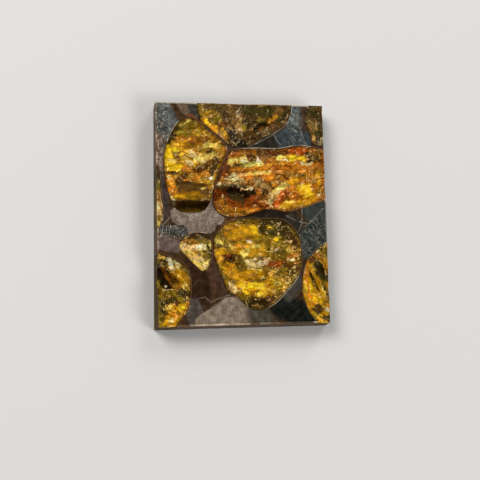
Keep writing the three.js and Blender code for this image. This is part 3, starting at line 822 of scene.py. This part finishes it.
# How the broken faces change the paint: how far a face takes the paint of its own seed, how calm the
# clear parts stay, how much brightness varies over fine and coarse faces and warmth over both, how dark
# the painted shade in the splits between the faces is and how wide in cells, how dark the painted shade
# along the rim is, and how light the paint may get. Sawn sides keep a little of the paint under a dark
# brown that is painted shade as well as a stain
SEED_PAINT = 0.35
CLEAR_CALM = 0.75
FINE_BRIGHTNESS = 0.2
COARSE_BRIGHTNESS = 0.14
WARMTH = 0.08
SPLIT_DARKNESS = 0.35
SPLIT_WIDTH = 0.22
RIM_DARKNESS = 0.4
LIGHTEST = 0.95
SAWN_PAINT = 0.1
SAWN_SHADE_AND_STAIN = 0.4

# The olivine's refraction, how strongly its surface reflects, and the colours of its flaws
OLIVINE_IOR = 1.67
OLIVINE_GLOSS = 0.07
DARK_FLECK = rgb(0.05, 0.025, 0.01)
DARK_CRACK = rgb(0.06, 0.025, 0.008)
PALE_CRACK = rgb(0.90, 0.72, 0.36)


def fine_mesh(node_name):
    """A finer copy of a CAD node's mesh: small triangles on the broken top, larger ones elsewhere."""
    work = bmesh.new()
    work.from_mesh(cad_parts[node_name].data)
    bmesh.ops.remove_doubles(work, verts=work.verts, dist=WELD)
    bmesh.ops.triangulate(work, faces=work.faces, quad_method="SHORT_EDGE")
    for _ in range(SPLITTING_PASSES):
        work.normal_update()
        long_edges = [edge for edge in work.edges if edge.calc_length() > edge_limit(edge)]
        bmesh.ops.subdivide_edges(work, edges=long_edges, cuts=1)
        bmesh.ops.triangulate(work, faces=work.faces, quad_method="SHORT_EDGE")
    mesh = bpy.data.meshes.new(node_name + "_fine")
    work.to_mesh(mesh)
    work.free()
    mesh.validate()
    return mesh


def edge_limit(edge):
    on_top = any(face.normal.z > UPWARD for face in edge.link_faces)
    return FINE_EDGE if on_top else COARSE_EDGE


# What a place on the broken faces has: its face's depth there, its seed's place, its values and how far
# it is inside the face, in cells
FacesAt = namedtuple("FacesAt", "depth seeds values inside")


class BrokenFaces:
    """Flat tilted faces, each round its own seed, in cells drawn out along the grain."""

    def __init__(self, rng, turn, length, width, drop, slope):
        cells = (BROKEN_CELLS, BROKEN_CELLS)
        self.size = np.array([length, width])
        self.turn = math.radians(turn)
        self.middle = BROKEN_CELLS // 2
        self.seeds = rng.uniform(0.08, 0.92, (*cells, 2))
        self.drops = rng.uniform(0, drop, cells)
        self.slopes = rng.uniform(-slope, slope, (*cells, 2))
        self.values = rng.normal(0, 1, (*cells, 2))

    def to_cells(self, places):
        across, along = math.cos(self.turn), math.sin(self.turn)
        turned = np.stack([places[:, 0] * across + places[:, 1] * along,
                           places[:, 1] * across - places[:, 0] * along], axis=1)
        return turned / self.size + self.middle

    def to_places(self, cells):
        turned = (cells - self.middle) * self.size
        across, along = math.cos(self.turn), math.sin(self.turn)
        return np.stack([turned[:, 0] * across - turned[:, 1] * along,
                         turned[:, 0] * along + turned[:, 1] * across], axis=1)

    def look_up(self, places):
        cells = self.to_cells(places)
        home = np.floor(cells).astype(int)
        best = np.full(len(cells), np.inf)
        second = np.full(len(cells), np.inf)
        index = np.zeros_like(home)
        for step in np.ndindex(3, 3):
            near = home + np.array(step) - 1
            gap = np.linalg.norm(cells - near - self.seeds[near[:, 0], near[:, 1]], axis=1)
            closer = gap < best
            second = np.where(closer, best, np.minimum(second, gap))
            best[closer] = gap[closer]
            index[closer] = near[closer]
        i, j = index[:, 0], index[:, 1]
        seed_cells = index + self.seeds[i, j]
        depth = self.drops[i, j] + ((cells - seed_cells) * self.size * self.slopes[i, j]).sum(axis=1)
        return FacesAt(depth, self.to_places(seed_cells), self.values[i, j], second - best)


def smooth_wander(rng, places, size, amount):
    """A smooth offset for each place, up to about that amount, as a sum of waves of about that size."""
    offset = np.zeros_like(places)
    for _ in range(WAVES):
        direction = rng.normal(0, 1, 2) * 2 * math.pi / size
        phase = rng.uniform(0, 2 * math.pi, 2)
        wave = places @ direction
        offset += np.stack([np.sin(wave + phase[0]), np.sin(wave * 1.3 + phase[1])], axis=1)
    return offset * 2 * amount / WAVES


def fade(values, start, end):
    """0 up to the start, 1 from the end, and a smooth rise between them."""
    share = np.clip((values - start) / (end - start), 0, 1)
    return share * share * (3 - 2 * share)


def stroke_share(places, x1, y1, x2, y2, half_width):
    """1 inside a stroke, 0 outside it, and a narrow fade between."""
    start = np.array([x1, y1])
    way = np.array([x2, y2]) - start
    along = np.clip((places - start) @ way / (way @ way), 0, 1)
    distance = np.linalg.norm(places - start - np.outer(along, way), axis=1)
    return fade(distance, STROKE_GONE * half_width, STROKE_FULL * half_width)


def painted_colours(crystal, places):
    colour = np.tile(TINTS[crystal["ground"]], (len(places), 1))
    for tint, *stroke in crystal["strokes"]:
        share = stroke_share(places, *stroke)[:, None]
        colour = colour * (1 - share) + np.array(TINTS[tint]) * share
    return colour


def clear_share(crystal, places):
    clear = np.zeros(len(places))
    for stroke in crystal["clear"]:
        clear = np.maximum(clear, stroke_share(places, *stroke))
    return clear


def vertex_points(mesh):
    """The mesh's points, in millimetres."""
    flat = np.empty(len(mesh.vertices) * 3)
    mesh.vertices.foreach_get("co", flat)
    return flat.reshape(-1, 3) / MM


def top_vertices(mesh):
    """Whether each vertex is on the broken top, and whether it is also on its outline."""
    on_top = np.zeros(len(mesh.vertices), bool)
    on_side = np.zeros(len(mesh.vertices), bool)
    for face in mesh.polygons:
        corners = list(face.vertices)
        if face.normal.z > UPWARD:
            on_top[corners] = True
        elif abs(face.normal.z) <= UPWARD:
            on_side[corners] = True
    return on_top, on_top & on_side


def distance_to_any(places, others):
    """The distance from each place to the nearest of the others."""
    tree = kdtree.KDTree(len(others))
    for i, (x, y) in enumerate(others):
        tree.insert((x, y, 0), i)
    tree.balance()
    return np.array([tree.find((x, y, 0))[2] for x, y in places])


def broken_colour(rng, crystal, places, wandered, clear, coarse, fine):
    """The painted colours, shifted a little from face to face, with painted shade along the splits."""
    roughly = 1 - CLEAR_CALM * clear
    blended = wandered + (fine.seeds - wandered) * SEED_PAINT * (1 - clear[:, None])
    colour = painted_colours(crystal, blended + smooth_wander(rng, places, size=0.7, amount=0.06))
    spread = FINE_BRIGHTNESS * fine.values[:, 0] + COARSE_BRIGHTNESS * coarse.values[:, 0]
    brightness = np.exp(roughly * spread)
    warmth = roughly * WARMTH * (fine.values[:, 1] + coarse.values[:, 1])
    tone = np.stack([brightness, brightness * (1 - warmth), brightness * (1 - 1.5 * warmth)], axis=1)
    split_shade = 1 - SPLIT_DARKNESS * roughly * (1 - fade(fine.inside, 0.0, SPLIT_WIDTH))
    return colour * tone * split_shade[:, None]


def break_top(mesh, crystal, rng):
    """Breaks the top into fine faces, always downwards, and paints it."""
    points = vertex_points(mesh)
    places = points[:, :2].copy()
    on_top, on_outline = top_vertices(mesh)
    half_plate = np.array([cad_box[1][0], cad_box[1][1]]) / MM
    near_side = (np.abs(places) > half_plate - SAWN_MARGIN).any(axis=1)

    wandered = places + smooth_wander(rng, places, size=1.2, amount=0.1)
    clear = clear_share(crystal, wandered)
    turn, stretch = crystal["turn"], crystal["stretch"]
    coarse_faces = BrokenFaces(rng, turn, length=0.9 * stretch, width=0.75, drop=0.08, slope=0.2)
    fine_faces = BrokenFaces(rng, turn + 20, length=0.36 * stretch, width=0.32, drop=0.02, slope=0.17)
    coarse = coarse_faces.look_up(wandered)
    fine = fine_faces.look_up(wandered)
    depth = np.clip(coarse.depth, 0, None) + np.clip(fine.depth, 0, None) * (1 - clear)
    depth *= fade(distance_to_any(places, places[on_outline]), 0, BREAKING_WIDTH)
    points[on_top, 2] -= depth[on_top]
    points[:, 2] = np.maximum(points[:, 2], 0)
    mesh.vertices.foreach_set("co", (points * MM).ravel())

    colour = broken_colour(rng, crystal, places, wandered, clear, coarse, fine)
    # Painted shade along the rim beside the metal
    rim_darkness = RIM_DARKNESS + smooth_wander(rng, places, size=1.5, amount=0.25)[:, 0]
    to_metal = distance_to_any(places, places[on_outline & ~near_side])
    rim_shade = 1 - rim_darkness * np.exp(-((to_metal / RIM_WIDTH) ** 2))
    colour = np.clip(colour * rim_shade[:, None], 0, LIGHTEST)
    # The sawn sides are darkened to a brown that is painted shade as well as a stain
    sawn = ~on_top & near_side
    colour[sawn] = colour[sawn] * SAWN_PAINT + np.array(TINTS["brown"]) * SAWN_SHADE_AND_STAIN
    tint = mesh.color_attributes.new("tint", "FLOAT_COLOR", "POINT")
    tint.data.foreach_set("color", np.column_stack([colour, np.ones(len(colour))]).ravel())
    for name, values in [("clearness", clear), ("sawn", sawn.astype(float))]:
        mesh.attributes.new(name, "FLOAT", "POINT").data.foreach_set("value", values)
    mesh.update()


def olivine_colour(graph, place, crystal, mottle, broken):
    """The painted tint with streaks, mottling, dark flecks and fine cracks."""
    turn, stretch = crystal["turn"], crystal["stretch"]
    tint = graph.node("VertexColor", {}, layer_name="tint").outputs["Color"]
    streaks = graph.noise(graph.cells(place, 1.6 * stretch, 0.2, turn), detail=3.0,
                          roughness=0.55).outputs[0]
    tone = graph.math("MULTIPLY", graph.between(streaks, 0.32, 0.68, 0.78, 1.25),
                      graph.between(mottle, 0.32, 0.68, 0.74, 1.3))
    colour = graph.mix(1.0, tint, graph.grey(tone), "MULTIPLY")

    flecks = graph.voronoi(graph.cells(graph.warp(place, 0.6, 0.15), 0.6)).outputs["Distance"]
    fleck_share = graph.math("MULTIPLY", graph.between(flecks, 0.08, 0.16, 0.8, 0.0), broken)
    colour = graph.mix(fleck_share, colour, DARK_FLECK)
    cracks = graph.voronoi(graph.cells(graph.warp(place, 0.8, 0.3), 1.1 * stretch, 0.8, turn),
                           "DISTANCE_TO_EDGE").outputs[0]
    crack_lines = graph.math("MULTIPLY", graph.between(cracks, 0.01, 0.045, 0.6, 0.0), broken)
    pale_part = graph.between(graph.noise(graph.cells(place, 1.0)).outputs[0], 0.5, 0.58)
    crack_colour = graph.mix(pale_part, DARK_CRACK, graph.mix(0.4, tint, PALE_CRACK))
    return graph.mix(crack_lines, colour, crack_colour)


def olivine_material(name, crystal):
    kind = OLIVINES[crystal["slot"]]
    material = bpy.data.materials.new(name)
    graph = Graph(material)
    place = graph.place()
    clear = graph.node("Attribute", {}, attribute_name="clearness").outputs["Fac"]
    sawn = graph.node("Attribute", {}, attribute_name="sawn").outputs["Fac"]
    cloudy = graph.math("SUBTRACT", 1.0, clear)
    broken = graph.math("MULTIPLY", cloudy, graph.math("SUBTRACT", 1.0, sawn))
    mottle = graph.noise(graph.cells(place, 0.45), detail=4.0, roughness=0.6, distortion=0.4).outputs[0]
    colour = olivine_colour(graph, place, crystal, mottle, broken)

    chip_cells = graph.cells(place, 0.3 * crystal["stretch"], 0.25, crystal["turn"])
    chips = graph.voronoi(chip_cells).outputs["Distance"]
    chip_height = graph.math("MULTIPLY", graph.math("ADD", chips, mottle), broken)
    bump = graph.node("Bump", {"Height": chip_height, "Distance": 0.02 * MM, "Strength": 0.22})
    roughness = graph.math("MAXIMUM", graph.between(mottle, 0.35, 0.65, 0.06, 0.24),
                           graph.math("MULTIPLY", sawn, 0.8))
    inputs = {"Base Color": colour, "Roughness": roughness, "Normal": bump.outputs[0],
              "Transmission Weight": kind["transmits"], "IOR": OLIVINE_IOR,
              "Specular IOR Level": OLIVINE_GLOSS, "Specular Tint": kind["glint"]}
    volume = graph.node("VolumeAbsorption", {"Color": kind["keeps"], "Density": kind["density"]})
    graph.finish(graph.node("BsdfPrincipled", inputs), volume)
    return material


def make_crystal(number, node_name, crystal):
    mesh = fine_mesh(node_name)
    break_top(mesh, crystal, np.random.default_rng(number + 1))
    mesh.materials.clear()
    mesh.materials.append(olivine_material(node_name + "_stone", crystal))
    for face in mesh.polygons:
        face.use_smooth = False
        face.material_index = 0
    piece = bpy.data.objects.new(node_name + "_broken", mesh)
    bpy.context.scene.collection.objects.link(piece)
    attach(piece, "root")
    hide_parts(node_name)


def dress_metal():
    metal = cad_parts["metal_matrix"]
    metal.data.materials.clear()
    metal.data.materials.append(metal_material())


# The floor's half side and how far its surface is below the slice, both in metres
FLOOR_HALF_SIDE = 2.0
FLOOR_DEPTH = 0.01 * MM
FLOOR_GREY = rgb(0.42, 0.465, 0.58)


def make_floor():
    turns = [(-1, -1), (1, -1), (1, 1), (-1, 1)]
    corners = [(x * FLOOR_HALF_SIDE, y * FLOOR_HALF_SIDE, -FLOOR_DEPTH) for x, y in turns]
    mesh = bpy.data.meshes.new("floor")
    mesh.from_pydata(corners, [], [(0, 1, 2, 3)])
    material = bpy.data.materials.new("floor")
    graph = Graph(material)
    graph.finish(graph.node("BsdfPrincipled", {"Base Color": FLOOR_GREY, "Roughness": 0.7}))
    mesh.materials.append(material)
    floor = bpy.data.objects.new("floor", mesh)
    bpy.context.scene.collection.objects.link(floor)


WARM_WHITE = (1.0, 0.89, 0.70)
LIGHT_DISTANCE = 0.5

# The soft lights: azimuth and elevation in degrees, side in metres and power in watts. Each stands
# at the same distance in metres from the slice
LIGHTS = {
    "window": (140, 48, 0.24, 2.8),
    "fill": (-35, 42, 0.22, 1.5),
    "far_side": (60, 35, 0.20, 1.0),
}


def make_world():
    """A studio that is bright round the sides and dark overhead, so that the polish stays dark."""
    world = bpy.data.worlds.new("studio")
    bpy.context.scene.world = world
    graph = Graph(world)
    direction = graph.node("TexCoord", {}).outputs["Generated"]
    height = graph.node("SeparateXYZ", {0: direction}).outputs[2]
    brightness = graph.between(height, 0.2, 0.6, 0.9, 0.2)
    background = graph.node("Background", {"Color": rgb(*WARM_WHITE), "Strength": brightness})
    graph.node("OutputWorld", {"Surface": background.outputs[0]})


def make_light(name, azimuth, elevation, side, power):
    """A square soft light that looks at the slice."""
    data = bpy.data.lights.new(name, "AREA")
    data.size = side
    data.energy = power
    data.color = WARM_WHITE
    light = bpy.data.objects.new(name, data)
    turn, height = math.radians(azimuth), math.radians(elevation)
    level = math.cos(height)
    towards = Vector((level * math.cos(turn), level * math.sin(turn), math.sin(height)))
    light.location = towards * LIGHT_DISTANCE
    light.rotation_euler = light.location.to_track_quat("Z", "Y").to_euler()
    bpy.context.scene.collection.objects.link(light)


make_camera()
make_floor()
make_world()
for name, values in LIGHTS.items():
    make_light(name, *values)
bpy.context.scene.view_settings.view_transform = "Standard"
dress_metal()
for number, (node_name, crystal) in enumerate(CRYSTALS.items()):
    make_crystal(number, node_name, crystal)
